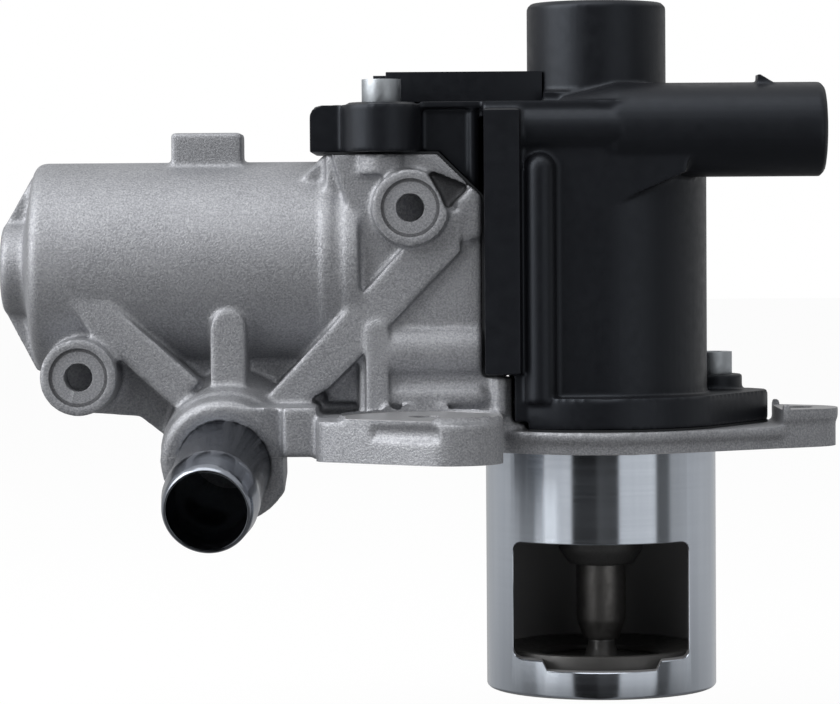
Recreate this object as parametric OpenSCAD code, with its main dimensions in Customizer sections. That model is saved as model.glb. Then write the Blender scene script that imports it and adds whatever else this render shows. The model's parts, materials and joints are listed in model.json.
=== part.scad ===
// Motor-driven exhaust gas recirculation valve: cast housing, plug-in steel tube with a
// poppet valve, DC motor, two-stage gear train with rack, moulded cover and connector.
// Origin: valve axis at the housing's mounting face. +Z up the stem, +X towards the
// connector, -Y towards the coolant pipe and the front bosses. Millimetres.

/* [Valve tube] */
// Outside radius of the steel tube
tube_r = 25.5; // [22:0.5:30]
// Wall of the steel tube
tube_wall = 3.5; // [2:0.25:4.5]
// Length of the tube below the mounting face
tube_len = 53.3; // [50:0.5:70]
// Depth of the tube's socket in the housing
tube_socket = 2.5; // [1.5:0.5:3]
// Width of the gas window in the tube
window_w = 38.2; // [25:0.1:40]
// Height of the window's lower edge above the tube's lower end
window_sill = 8.1; // [7:0.1:10]
// Height of the gas window
window_h = 25.5; // [18:0.5:27]
// Turn of the window about the valve axis
window_turn = -2; // [-20:1:20]

/* [Valve] */
// Radius of the valve stem
stem_r = 3; // [2.5:0.1:4]
// Radius of the hole in the seat ring
seat_bore_r = 13.7; // [10:0.1:16]
// Height of the seat ring
seat_h = 4.6; // [3:0.2:6]
// Height of the seat ring's lower face above the tube's lower end
seat_inset = 4.3; // [4:0.1:6]
// Width of the conical sealing face
seat_land = 1.8; // [1:0.1:2.5]
// Thickness of the valve head's rim
head_rim = 1.4; // [1:0.1:2.5]
// Travel of the valve from closed to open
valve_travel = 7; // [4:0.5:7]
// Outside radius of the stem guide
guide_r = 5.5; // [4.8:0.1:7]
// Height of the guide's lower end above the seat ring's lower face
guide_lift = 6.1; // [6:0.1:12]
// Clearance of the stem in its guide
running_gap = 0.03; // [0.01:0.01:0.08]

/* [Motor barrel] */
// Outside radius of the motor barrel
barrel_r = 23.3; // [22:0.1:26]
// Height of the motor axis above the mounting face
motor_z = 40.3; // [38:0.1:42]
// Distance of the barrel's closed end from the valve axis
barrel_end = 126.8; // [110:0.2:150]
// Rounding of the barrel's closed end
barrel_round = 2.5; // [1:0.5:5]
// Radius of the motor can
can_r = 17.5; // [15:0.1:17.5]
// Sheet thickness of the motor can
can_wall = 1.2; // [0.8:0.1:2]

/* [Gear case] */
// Distance of the gear case's left face from the valve axis
case_left = 65; // [65:0.5:68]
// Thickness of the gear case's left wall
case_wall = 2.5; // [2:0.25:3]
// Distance of the joint face between housing and cover from the valve axis
joint_face = 26; // [25.6:0.1:28]
// Height of the upper joint face above the mounting face
joint_top = 65.3; // [65:0.1:70]
// Front wall of the gear case
case_front = 20.5; // [20:0.5:24]
// Back wall of the gear case
case_back = 28; // [27.5:0.5:32]
// Thickness of the gasket between housing and cover
gasket_t = 0.5; // [0.3:0.1:1]

/* [Gears] */
// Module of the motor stage
motor_module = 0.8; // [0.7:0.05:0.8]
// Module of the output stage and the rack
output_module = 1; // [0.9:0.05:1]
// Teeth of the motor pinion
motor_teeth = 12; // [12:1:13]
// Teeth of the large idler wheel
wheel_teeth = 32; // [30:1:32]
// Teeth of the small idler pinion
idler_teeth = 12; // [12:1:13]
// Teeth of a full turn of the output gear
output_teeth = 30; // [28:1:30]
// Teeth of the pinion that drives the rack
drive_teeth = 12; // [12:1:13]
// Pressure angle of every tooth
pressure_angle = 25; // [25:1:26]
// Play between meshing teeth at the pitch line
backlash = 0.14; // [0.1:0.02:0.3]
// Distance of the rack's pitch line behind the valve axis
rack_y = 5.5; // [5:0.1:6.5]
// Height of the output shaft above the mounting face
shaft_z = 41.1; // [40:0.1:43]
// Radius of the output shaft in its bearings
shaft_r = 4; // [3:0.1:5]

/* [Mounting flange] */
// Radius of the flange round the steel tube
flange_r = 30; // [28:0.5:34]
// Thickness of the flange
flange_t = 4.8; // [4:0.2:5]
// Height of the step round the flange
flange_step = 2.8; // [2:0.1:3.5]
// Distance of the right ear's hole from the valve axis
ear_x = 43.8; // [42:0.2:50]
// Radius of the right ear
ear_r = 9; // [7:0.5:11]
// Height of the right ear
ear_h = 8.4; // [6:0.2:10]
// Place of the front lug's hole, to the left of and in front of the valve axis
lug_hole = [39, 40]; // [30:1:50]
// Radius of the front lug's nose
lug_nose_r = 10.5; // [8:0.5:13]
// Height of the front lug
lug_h = 9.2; // [7:0.2:12]
// Radius of the mounting holes
mount_hole_r = 3.5; // [2.5:0.1:4.5]

/* [Bracket bosses] */
// Radius of the two front bosses
boss_r = 8.3; // [7:0.1:9]
// Radius of the threaded holes in the bosses
boss_hole_r = 3; // [2:0.1:4]
// Depth of the threaded holes
boss_hole_depth = 8; // [5:0.5:8]
// Distance of the bosses' faces in front of the valve axis
boss_face = 26; // [25:0.5:30]
// Place of the left boss, to the left of the valve axis and up
left_boss = [113.5, 17.2]; // [10:0.1:120]
// Place of the upper boss, to the left of the valve axis and up
upper_boss = [41.9, 53.2]; // [30:0.1:60]

/* [Coolant pipe] */
// Outside radius of the coolant pipe
pipe_r = 10; // [8:0.05:11]
// Bore radius of the coolant pipe
pipe_bore_r = 8.5; // [6:0.05:9]
// Depth to which the pipe's seated end is turned down
pipe_neck = 0.25; // [0.1:0.05:0.4]
// Height of the hose bead above the pipe
pipe_bead = 0.3; // [0.2:0.05:1.2]
// Length of the hose bead
pipe_bead_len = 3; // [1:0.5:5]
// Free length of the coolant pipe
pipe_len = 28.7; // [20:0.1:45]
// Depth of the pipe's seat in the housing
pipe_seat = 9; // [5:0.5:12]
// Downward tilt of the coolant pipe
pipe_drop = 15.4; // [0:0.2:30]
// Sideways turn of the coolant pipe
pipe_yaw = 4.6; // [-10:0.2:15]
// Radius of the cast boss round the pipe
pipe_boss_r = 14.1; // [12:0.1:15]
// Radius of the coolant port in the mounting face
port_r = 4.5; // [3:0.1:5]

/* [Cover] */
// Outside radius of the cover's main cylinder
cover_r = 23.7; // [23:0.1:26]
// Wall of the cover
cover_wall = 3; // [2:0.1:3]
// Height of the cover's roof above the mounting face
roof_z = 76; // [75.5:0.1:80]
// Outside radius of the sensor dome
dome_r = 15.35; // [14:0.05:18]
// Height of the sensor dome above the mounting face
dome_z = 98.1; // [96:0.1:110]
// Thickness of the cover's bottom flange
skirt_t = 6.7; // [5:0.1:9]
// Radius of the cover screws' shanks
cover_screw_r = 2.5; // [2:0.1:3]

/* [Connector] */
// Outside radius of the connector barrel
plug_r = 10.25; // [9.5:0.05:12]
// Wall of the connector barrel
plug_wall = 2; // [1.5:0.1:3]
// Distance of the connector's mouth from the valve axis
plug_end = 48; // [45:0.2:60]
// Height of the connector's axis above the mounting face
plug_z = 69.7; // [68:0.1:72]
// Distance of the connector's axis in front of the valve axis
plug_y = 15; // [13:0.2:17]
// Depth of the connector's socket
socket_depth = 19; // [12:0.5:22]

/* [Return spring] */
// Wire radius of the return spring
wire_r = 0.9; // [0.6:0.05:1.1]
// Mean coil radius of the return spring
coil_r = 10.5; // [9:0.1:11.5]
// Turns of the return spring
coil_turns = 4.5; // [3:0.5:5]

/* [Hidden] */
$fn = 64;
far = 200;
tiny = 0.01;

// Planes along the motor axis, measured from the valve axis
wheel_x = [-58, -52.5];
output_x = [-50.5, -43.5];
plate_t = 2.5;
plate_x = [-case_left + case_wall, -case_left + case_wall + plate_t];
carrier_x = -41;
carrier_t = 4;
carrier_end = -16;
bearing_w = 5;
bearing_r = 8;
can_x = [-122, plate_x[0] - 2.5];
drive_w = 10;
terminal_y = [-5, 5];
bearing_x = [carrier_x, carrier_end - bearing_w];
ball_r = 1.1;
ball_pitch = (bearing_r + shaft_r) / 2;

// Gear centres, as [Y, Z]
motor_c = [0, motor_z];
output_c = [rack_y + pitch_r(output_module, drive_teeth), shaft_z];
idler_c = triangle_top(motor_c, output_c,
    pitch_r(motor_module, motor_teeth) + pitch_r(motor_module, wheel_teeth),
    pitch_r(output_module, idler_teeth) + pitch_r(output_module, output_teeth));
wheel_tip_r = pitch_r(motor_module, wheel_teeth) + motor_module;

// Tooth phases that put every pair in mesh with the valve closed
drive_phase = 180;
output_phase = heading(output_c, idler_c);
idler_phase = output_phase + 180 + 180 / idler_teeth;
wheel_phase = heading(idler_c, motor_c);
motor_phase = wheel_phase + 180 + 180 / motor_teeth;

// Inner room of the gear case
pocket_front = 15.2;
plate_front = 12;
pocket_back = 23.5;
pocket_floor = 13;
pocket_top = 61.5;
throat_x = wheel_x[0] - 0.7;
shelf_x = -60.2;
ledge = 1.5;
well_r = cover_r - cover_wall;
panel_y = cover_r - 0.1;
room_front = well_r - 0.4;
cover_back = case_back - 1.5;
plinth_z = 10.5;

// Joint line between housing and cover, seen from the front
shoulder_z = 17.1;
step_x = -19.6;
skirt_left = -16.5;
skirt_z = flange_t + gasket_t;
skirt_right = 38.3;
joint_corner = [-35.8, joint_top];
joint_line = [joint_corner, [-joint_face, joint_top - 9.6], [-joint_face, shoulder_z],
    [step_x, shoulder_z], [step_x, skirt_z + 1.7], [skirt_left, skirt_z + 1.7],
    [skirt_left, skirt_z], [skirt_right, skirt_z]];

// Places of the screws that hold the cover, as [X, Y]
top_screws = [[-48, -17.5], [-48, case_back + 0.5]];
skirt_screws = [[26.2, 12.4], [-10.5, case_back + 4.5]];
skirt_pad_r = 6.5;
top_boss_r = 6;
top_boss_h = [4.8, 17];
top_pad_z = roof_z;
skirt_pad_z = skirt_z + skirt_t + 3.4;
screw_lobe_r = 8.7;

// Corners of the lid's box on the roof
lid_lo = [-47.1, -10, roof_z + 0.3];
lid_hi = [-12.9, 20.5, roof_z + 6.9];
dome_c = [-0.55, 0];

// Screws of the bearing carrier and the motor plate, as [Y, Z]
post_r = 4;
post_in = post_r - 0.5;
carrier_screw_at = [[-pocket_front + post_in, pocket_floor + post_in],
    [pocket_back - post_in, pocket_floor + post_in], [pocket_back - post_in, joint_top - 4.5]];
plate_screw_at = [for (a = [0, 55, 270]) motor_c + polar(20.8, a)];

// Stack on the stem
spring_floor = plinth_z;
retainer_z = 29;
rack_bottom = 31;
rack_top = 56;
clip_t = 1.2;
stem_top = 64;
magnet_z = [72, 82];
board_x = 7.6;
seat_depth = tube_len - seat_inset;
guide_depth = seat_depth - guide_lift;
head_top = -seat_depth;
tube_bore_r = tube_r - tube_wall;
tube_relief = 0.25;
pipe_base = [-82.1, -28, -1.6];
port_at = [-50, -5];
gallery_z = 6.5;
pin_z = [for (k = [-2:2]) plug_z + 2.6 * k];

// Helpers: plane geometry
function pitch_r(m, z) = m * z / 2;
function heading(a, b) = atan2(b[1] - a[1], b[0] - a[0]);
function polar(r, a) = r * [cos(a), sin(a)];
function triangle_top(a, b, ra, rb) =
    let (d = norm(b - a), u = (b - a) / d, s = (ra * ra - rb * rb + d * d) / (2 * d))
    a + s * u + sqrt(ra * ra - s * s) * [-u[1], u[0]];

// Solid of a front-view outline, given as X and Z, between two depths along Y
module front_plate(y0, y1) {
    translate([0, y1, 0]) rotate([90, 0, 0]) linear_extrude(y1 - y0) children();
}

// Solid of a side-view outline, given as Y and Z, between two places along X
module side_plate(x0, x1) {
    translate([x0, 0, 0]) rotate([90, 0, 90]) linear_extrude(x1 - x0) children();
}

// Solid of revolution about a line along X, from an outline of [radius, X]
module turned_x(y, z) {
    translate([0, y, z]) rotate([0, 90, 0]) rotate_extrude() children();
}

module x_rod(x0, x1, r, c) {
    translate([x0, c[0], c[1]]) rotate([0, 90, 0]) cylinder(h = x1 - x0, r = r);
}

module y_rod(y0, y1, r, c) {
    translate([c[0], y1, c[1]]) rotate([90, 0, 0]) cylinder(h = y1 - y0, r = r);
}

module z_rod(z0, z1, r, c = [0, 0]) {
    translate([c[0], c[1], z0]) cylinder(h = z1 - z0, r = r);
}

module block(lo, hi) {
    translate(lo) cube(hi - lo);
}

// Two circles joined by their outer tangents, which sink a hair so that they cut the circles
module link(a, ra, b, rb) {
    turn = acos((ra - rb) / norm(b - a));
    way = heading(a, b);
    sink = 0.03;
    translate(a) circle(ra);
    translate(b) circle(rb);
    polygon([a + polar(ra - sink, way + turn), a + polar(ra - sink, way - turn),
        b + polar(rb - sink, way - turn), b + polar(rb - sink, way + turn)]);
}

module round_rect(lo, hi, r) {
    translate([lo[0], lo[1] + r]) square([hi[0] - lo[0], hi[1] - lo[1] - 2 * r]);
    translate([lo[0] + r, lo[1]]) square([hi[0] - lo[0] - 2 * r, hi[1] - lo[1]]);
    for (x = [lo[0] + r, hi[0] - r], z = [lo[1] + r, hi[1] - r]) translate([x, z]) circle(r);
}

// Gear teeth: involute flanks, thinned by half of the backlash
function involute(a) = tan(a) * 180 / PI - a;
function tooth_half(m, z, r) =
    let (rp = pitch_r(m, z), rb = rp * cos(pressure_angle))
    90 / z - backlash / 4 / rp * 180 / PI + involute(pressure_angle)
        - involute(acos(min(1, rb / max(r, rb))));
function flank_radii(m, z) =
    let (rp = pitch_r(m, z), rb = max(rp * cos(pressure_angle), rp - m))
    [rp - 1.25 * m, for (i = [0:3]) rb + (rp + m - rb) * i / 3];
function tooth(m, z, a) =
    let (rr = flank_radii(m, z))
    [for (r = rr) polar(r, a - tooth_half(m, z, r)),
        for (i = [len(rr) - 1:-1:0]) polar(rr[i], a + tooth_half(m, z, rr[i]))];

module gear_outline(m, z, phase) {
    polygon([for (k = [0:z - 1]) each tooth(m, z, phase + k * 360 / z)]);
}

module gear(x, m, z, phase, c) {
    side_plate(x[0], x[1]) translate(c) gear_outline(m, z, phase);
}

// Region on the cover's side of the joint line, moved by d towards the cover
module cover_side(d) {
    polygon([[-case_left - 2, far], [-case_left - 2, joint_top + d], joint_line[0] + d * [0.4, 1],
        joint_line[1] + d * [1, 0.4], for (i = [2:6]) joint_line[i] + d * [1, 1],
        joint_line[7] + d * [-1, 1], [skirt_right - d, far]]);
}

module screw(head_r, head_h, shank_r, len) {
    difference() {
        cylinder(h = head_h, r = head_r);
        translate([0, 0, head_h * 0.45]) cylinder(h = head_h, r = head_r * 0.55, $fn = 6);
    }
    translate([0, 0, -len]) cylinder(h = len + tiny, r = shank_r);
}

// Frame of the coolant pipe: +Z runs out of the housing along the pipe
module at_pipe() {
    translate(pipe_base) rotate([0, 0, -pipe_yaw]) rotate([90 + pipe_drop, 0, 0]) children();
}

// Housing

module barrel() {
    // Two low collars stand out where the barrel meets the gear case
    collar = -case_left + 12;
    high = barrel_r + 0.5;
    turned_x(0, motor_z) polygon([[0, collar], [high, collar], [high, collar - 3],
        [barrel_r, collar - 3.5], [barrel_r, collar - 5.5], [high, collar - 6], [high, collar - 8],
        [barrel_r, collar - 8.5],
        for (i = [0:6]) [barrel_r - barrel_round + barrel_round * cos(i * 15),
            -barrel_end + 1.9 + barrel_round - barrel_round * sin(i * 15)],
        [10.6, -barrel_end], [10.35, -barrel_end - 4.4], [9.3, -barrel_end - 5.3],
        [6, -barrel_end - 5.7], [0, -barrel_end - 5.7]]);
    // Cast rib across the closed end
    front_plate(-3, 3) polygon([[-barrel_end - 5.2, motor_z + 8.8], [-barrel_end + 1.3, motor_z + 20.2],
        [-barrel_end + 6, motor_z + 21.5], [-barrel_end + 6, motor_z - 22.6],
        [-barrel_end + 2, motor_z - 22.6], [-barrel_end - 5.2, motor_z - 8.8]]);
    // Clamping pad on top
    block([-94.4, -7, motor_z], [-78.9, 7, motor_z + 29.7]);
}

module case_block() {
    right = -joint_face + 6;
    front_plate(-case_front, case_back)
        polygon([[-59.1, joint_top], [-55.9, 55], [-53.2, 48.5], [-53.3, 0], [right, 0],
            [right, joint_top]]);
    // Left end, whose top corner slopes down to the barrel
    front_plate(-14, case_back) polygon([[-case_left, 0], [-53, 0], [-53, joint_top],
        [shelf_x, joint_top], [-case_left, joint_top + shelf_x + case_left - 9.6]]);
    block([shelf_x, -pocket_front - 2, pocket_floor - 2], [-53, 0, joint_top]);
    block([-30, -case_front, 0], [skirt_left, case_back - 4, shoulder_z]);
    for (i = [0, 1]) z_rod(joint_top - top_boss_h[i], joint_top, top_boss_r, top_screws[i]);
    // Rounded beads along the lower front wall, and a ridge at their right end
    x_rod(-47, right, 6.3, [-17, 22.1]);
    x_rod(-46.5, -27.6, 3.1, [-19, 12.2]);
    translate([-27.6, -19, 12.2]) sphere(3.1);
    z_rod(lug_h - 1, shoulder_z, 1.7, [-22.7, -case_front]);
    // Raised pad between the upper boss and the joint
    front_plate(-case_front - 1.5, -case_front + 1)
        polygon([[-32.1, 54.3], [-28.7, 57.7], [right, 60], [right, 49.2], [-30.1, 45.6]]);
}

// Hollow behind the upper boss
module front_pocket() {
    front_plate(-far, -case_front + 2.2)
        polygon([[-38.8, 61.6], [-35.5, 60.4], [-28.9, 57.7], [-32.3, 54.3], [-34, 52], [-35.5, 56]]);
}

module front_ribs() {
    rib_face = -22.5;
    front_plate(rib_face, 0)
        polygon([[-115.8, 33.9], [-106.3, 32.7], [-87.5, 16], [-92.9, 10.4], [-111.1, 26.3]]);
    front_plate(rib_face, 0) {
        translate([-81.35, 27.6]) circle(3.85);
        translate([-85.2, 8]) square([7.7, 19.6]);
    }
    front_plate(rib_face, -case_front + tiny)
        polygon([[-43.1, 44.8], [-59, 27.9], [-53.5, 20.5], [-31.2, 43.6], [-31.2, 51.6], [-41.9, 58]]);
    front_plate(rib_face, 0)
        polygon([[-57, 30], [-74.2, 11.6], [-74, 6], [-59.5, 14.5], [-53.3, 20.7]]);
    front_plate(-case_front - 2.6, -case_front + tiny) link([-49.2, 26.2], 2.5, [-49.2, 9], 2.5);
}

// Web under the barrel, from the left boss to the gear case
module lower_web() {
    front_plate(-12, 10)
        polygon([[-113.5, 8.9], [-101.4, 8], [-95, 3], [-95, -1], [-72, -1], [-69, 0.3],
            [-case_left + 12, 0.3], [-case_left + 12, 30], [-113.5, 30]]);
}

module bracket_bosses() {
    y_rod(-boss_face, 0, boss_r, [-left_boss[0], left_boss[1]]);
    y_rod(-boss_face, -pocket_front - ledge - 1, boss_r, [-upper_boss[0], upper_boss[1]]);
}

module boss_holes() {
    for (p = [left_boss, upper_boss]) {
        y_rod(-boss_face - 1, -boss_face + boss_hole_depth, boss_hole_r, [-p[0], p[1]]);
        y_rod(-boss_face - 1, -boss_face + 0.4, boss_r - 2, [-p[0], p[1]]);
    }
}

module pipe_boss() {
    depth = 22;
    difference() {
        at_pipe() rotate_extrude() polygon([[0, -depth], [pipe_boss_r + 0.6, -depth],
            [pipe_boss_r + 0.6, -6], [pipe_boss_r, -5.5], [pipe_boss_r, -1.3],
            [pipe_boss_r - 1.3, 0], [0, 0]]);
        // The boss stays clear of the mounting face
        block([-69.4, -far, -far], [0, far, 0.3]);
    }
    block([-69.4, -34, 0.3], [-62, -12, 10.9]);
    // This block stays behind the boss's face, clear of the hose
    difference() {
        block([-84, -32, -0.9], [-69.4, -12, 10.9]);
        at_pipe() translate([0, 0, -0.3]) cylinder(h = 30, r = 40);
    }
}

module flange_outline(r) {
    link([0, 0], flange_r + r, [ear_x, 0], ear_r + r);
}

module lug_outline(back) {
    nose = [-33.3, -48.7];
    link([-57, -40.4], 5, nose, lug_nose_r);
    polygon([[-62, -40.4], nose, nose + [lug_nose_r, 0], [nose[0] + lug_nose_r, back], [-62, back]]);
}

module mounting_flange() {
    ear_step = 6;
    ear_left = skirt_right + 1;
    linear_extrude(flange_step) flange_outline(-0.8);
    linear_extrude(flange_t) for (s = skirt_screws) link([0, 0], 20, s, skirt_pad_r);
    intersection() {
        translate([0, 0, flange_step]) linear_extrude(flange_t - flange_step) flange_outline(0);
        block([-far, -far, 0], [ear_left, far, far]);
    }
    // Raised ear with a wider disc on top
    intersection() {
        union() {
            linear_extrude(ear_step) flange_outline(-0.5);
            translate([0, 0, ear_step]) linear_extrude(ear_h - ear_step) flange_outline(0);
        }
        block([ear_left - tiny, -far, 0], [far, far, far]);
    }
    difference() {
        linear_extrude(lug_h - 0.6) lug_outline(0);
        // Undercut in the lug's front wall
        translate([0, 0, 4.9]) linear_extrude(3.1)
            polygon([[-50.3, -49.6], [-36, -58], [-36, -70], [-50.3, -70]]);
    }
    // Milled face round the lug's hole
    intersection() {
        translate([0, 0, lug_h - 0.7]) linear_extrude(0.7) lug_outline(-case_front);
        z_rod(0, lug_h, 18, -lug_hole);
    }
}

// Spigot inside the tube, with the boss that carries the guide
module spigot() {
    rotate_extrude() polygon([[0, flange_t], [tube_bore_r, flange_t], [tube_bore_r, -12], [9.5, -12],
        [9.5, -22.7], [7, -26.2], [0, -26.2]]);
    z_rod(0, plinth_z, well_r - 0.6);
}

module gear_room() {
    // Room for the gears, closed over the motor plate, then the wider seat of the bearing carrier
    block([plate_x[0], -plate_front, pocket_floor], [carrier_x, pocket_back, pocket_top]);
    block([throat_x, -pocket_front, pocket_floor], [carrier_x, pocket_back, far]);
    block([carrier_x, -pocket_front - ledge, pocket_floor], [-joint_face + 7, pocket_back + ledge, far]);
}

module gear_room_posts() {
    for (p = carrier_screw_at) x_rod(plate_x[1], carrier_x, post_r, p);
    for (s = top_screws) z_rod(joint_top - 16, joint_top, top_boss_r - 0.5, s);
}

module housing() {
    color("lightgray") difference() {
        union() {
            difference() {
                union() {
                    barrel();
                    case_block();
                    front_ribs();
                    lower_web();
                    bracket_bosses();
                    pipe_boss();
                    mounting_flange();
                }
                difference() {
                    gear_room();
                    gear_room_posts();
                }
                front_plate(-far, far) cover_side(-gasket_t);
            }
            spigot();
        }
        x_rod(throat_x, wheel_x[1] + 0.5, wheel_tip_r + 0.8, idler_c);
        front_pocket();
        // Motor bore and the pocket for the can's rear bearing
        x_rod(-barrel_end + 3.3, 0, can_r + 0.2, motor_c);
        x_rod(-barrel_end - 3.2, 0, 6.2, motor_c);
        for (p = plate_screw_at) x_rod(plate_x[0] - 7, plate_x[0] + 1, 1.5, p);
        for (p = carrier_screw_at) x_rod(carrier_x - 9, carrier_x + 1, 1.5, p);
        boss_holes();
        // Cover screws
        for (s = top_screws) z_rod(joint_top - 14, joint_top + 1, cover_screw_r, s);
        for (s = skirt_screws) z_rod(0.5, far, cover_screw_r, s);
        // Mounting holes
        z_rod(-1, far, mount_hole_r, [ear_x, 0]);
        z_rod(-1, lug_h + 1, mount_hole_r, -lug_hole);
        // Socket of the steel tube
        difference() {
            union() {
                z_rod(-1, tube_socket, tube_r - tube_relief);
                z_rod(-1, 0.5, tube_r + 0.4);
            }
            z_rod(-2, tube_socket + 1, tube_bore_r);
        }
        // Stem, guide and seal
        z_rod(-far, far, stem_r + 0.6);
        z_rod(-far, -8, guide_r);
        z_rod(plinth_z - 5, plinth_z + 1, 6.5);
        // Coolant way: pipe seat, passage and port in the mounting face
        at_pipe() translate([0, 0, -pipe_seat]) cylinder(h = far, r = pipe_r - pipe_neck);
        at_pipe() translate([0, 0, -26]) cylinder(h = 20, r = 4.5);
        x_rod(pipe_base[0], port_at[0], 3.2, [port_at[1], gallery_z]);
        z_rod(-1, gallery_z, 3.2, port_at);
        z_rod(-1, 4, port_r, port_at);
    }
}

// Steel tube and valve

module window_outline() {
    half = window_w / 2;
    foot = tube_len - window_sill;
    window_top = foot - window_h;
    side_shift = -0.33;
    translate([side_shift, 0]) {
        round_rect([-half, -foot], [half, -window_top], 1.8);
        polygon([[-half * 0.7, -foot + 1], [-half * 0.62, -foot - 2.1], [half * 0.62, -foot - 2.1],
            [half * 0.7, -foot + 1]]);
    }
}

module valve_tube() {
    neck_r = tube_r - tube_relief;
    color("gainsboro") difference() {
        rotate_extrude() polygon([[tube_bore_r, -tube_len], [tube_r - 0.6, -tube_len],
            [tube_r, -tube_len + 0.6], [tube_r, 0], [neck_r, 0], [neck_r, tube_socket],
            [tube_bore_r, tube_socket]]);
        rotate([0, 0, window_turn]) front_plate(-far, 0) window_outline();
    }
}

module seat_ring() {
    foot = -seat_depth;
    color("darkgray") rotate_extrude() polygon([[seat_bore_r, foot + seat_land],
        [seat_bore_r + seat_land, foot], [tube_bore_r, foot], [tube_bore_r, foot + seat_h],
        [tube_bore_r - 2, foot + seat_h], [seat_bore_r, foot + seat_h - 1.6]]);
}

module stem_guide() {
    color("gray") rotate_extrude() polygon([[stem_r + running_gap, -guide_depth],
        [stem_r + 0.9, -guide_depth], [guide_r, -guide_depth + 4.7], [guide_r, -8],
        [stem_r + running_gap, -8]]);
}

module stem_seal() {
    color("black") rotate_extrude() polygon([[stem_r + running_gap, plinth_z - 5],
        [6.5, plinth_z - 5], [6.5, plinth_z - 1], [5.2, plinth_z - 1], [4.6, plinth_z - 2.5],
        [stem_r + running_gap, plinth_z - 1.5]]);
}

module valve() {
    gap = 0.05;
    rim_r = seat_bore_r + seat_land;
    color("silver") rotate_extrude() polygon([[0, stem_top], [stem_r - 0.4, stem_top],
        [stem_r, stem_top - 0.4], [stem_r, head_top + 4.5], [stem_r + 1, head_top + 2.3],
        [seat_bore_r - 1, head_top + seat_land + 0.1 - gap], [seat_bore_r - 0.1, head_top + seat_land - gap],
        [rim_r - 0.1, head_top - gap], [rim_r - 0.1, head_top - head_rim],
        [rim_r - 1, head_top - head_rim - 1], [0, head_top - head_rim - 1]]);
}

module coolant_pipe() {
    neck_r = pipe_r - pipe_neck;
    bead_r = pipe_r + pipe_bead;
    bead_end = pipe_len - 6.3;
    color("slategray") at_pipe() rotate_extrude() polygon([[pipe_bore_r, -pipe_seat],
        [neck_r, -pipe_seat], [neck_r, 0], [pipe_r, 0], [pipe_r, bead_end - pipe_bead_len - 0.8],
        [bead_r, bead_end - pipe_bead_len], [bead_r, bead_end],
        [pipe_r - 0.5, pipe_len - 0.8], [pipe_r - 1, pipe_len], [pipe_bore_r, pipe_len]]);
}

// Motor

module motor_can() {
    color("silver") {
        turned_x(0, motor_z) polygon([[can_r - can_wall, can_x[1]], [can_r - can_wall, can_x[0] + can_wall],
            [4.5, can_x[0] + can_wall], [4.5, can_x[0] - 4], [1.65, can_x[0] - 4], [1.65, can_x[0] - 5.2],
            [6, can_x[0] - 5.2], [6, can_x[0]], [can_r, can_x[0]], [can_r, can_x[1]]]);
        turned_x(0, motor_z) polygon([[1.65, can_x[0] - 4], [4.5, can_x[0] - 4], [4.5, can_x[0]],
            [1.65, can_x[0]]]);
    }
}

module motor_end_cap() {
    color("dimgray") difference() {
        union() {
            x_rod(can_x[1], plate_x[0], can_r, motor_c);
            x_rod(can_x[1] - 3, can_x[1], can_r - can_wall, motor_c);
        }
        x_rod(can_x[1] - 4, 0, 1.65, motor_c);
        for (y = terminal_y) block([can_x[1] - 4, y - 2.5, motor_z - 13.4], [0, y + 2.5, motor_z - 12.6]);
    }
}

module motor_magnets() {
    color("dimgray") difference() {
        x_rod(can_x[0] + 8, can_x[1] - 12, can_r - can_wall, motor_c);
        x_rod(can_x[0], can_x[1], can_r - 4.4, motor_c);
        block([can_x[0], -2.5, 0], [can_x[1], 2.5, far]);
    }
}

module wave_spring() {
    color("lightsteelblue") difference() {
        x_rod(-barrel_end + 3.3, can_x[0], 15, motor_c);
        x_rod(-barrel_end + 3, can_x[0] + 1, 12, motor_c);
    }
}

module motor_terminals() {
    color("goldenrod") for (y = terminal_y)
        block([can_x[1] - 3, y - 2.5, motor_z - 13.4], [plate_x[1] + 1.6, y + 2.5, motor_z - 12.6]);
}

module motor_plate() {
    color("lightsteelblue") difference() {
        side_plate(plate_x[0], plate_x[1]) difference() {
            translate([-plate_front + 0.1, pocket_floor + 0.1])
                square([plate_front + pocket_back - 0.2, pocket_top - pocket_floor - 0.2]);
            for (p = carrier_screw_at) translate(p) circle(post_r + 1);
            translate(motor_c) circle(6.4);
            for (y = terminal_y) translate([y - 3, motor_z - 14]) square([6, 2]);
            for (p = plate_screw_at) translate(p) circle(1.5);
        }
        x_rod(plate_x[0] - 1, 0, 2, idler_c);
    }
}

module plate_screws() {
    color("gainsboro") for (p = plate_screw_at)
        translate([plate_x[1], p[0], p[1]]) rotate([0, 90, 0]) screw(2.6, 1.4, 1.5, plate_t + 6);
}

module motor_shaft() {
    color("silver") x_rod(can_x[0] - 3.6, output_x[0] - 0.8, 1.6, motor_c);
}

module armature() {
    poles = 5;
    color("gray") side_plate(can_x[0] + 11, can_x[1] - 15) translate(motor_c) difference() {
        circle(can_r - 5);
        circle(1.6);
        for (k = [0:poles - 1]) rotate(k * 360 / poles + 36) {
            translate([can_r - 9, -0.9]) square([6, 1.8]);
            translate([can_r - 9, 0]) circle(2.6);
        }
    }
}

module windings() {
    color("peru") for (x = [[can_x[0] + 6, can_x[0] + 11], [can_x[1] - 15, can_x[1] - 11]])
        side_plate(x[0], x[1]) translate(motor_c) difference() {
            circle(can_r - 6.5);
            circle(4);
        }
}

module commutator() {
    bars = 5;
    color("peru") side_plate(can_x[1] - 11, can_x[1] - 4) translate(motor_c) difference() {
        circle(4);
        circle(1.6);
        for (k = [0:bars - 1]) rotate(k * 360 / bars) translate([3, -0.2]) square([2, 0.4]);
    }
}

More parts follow.
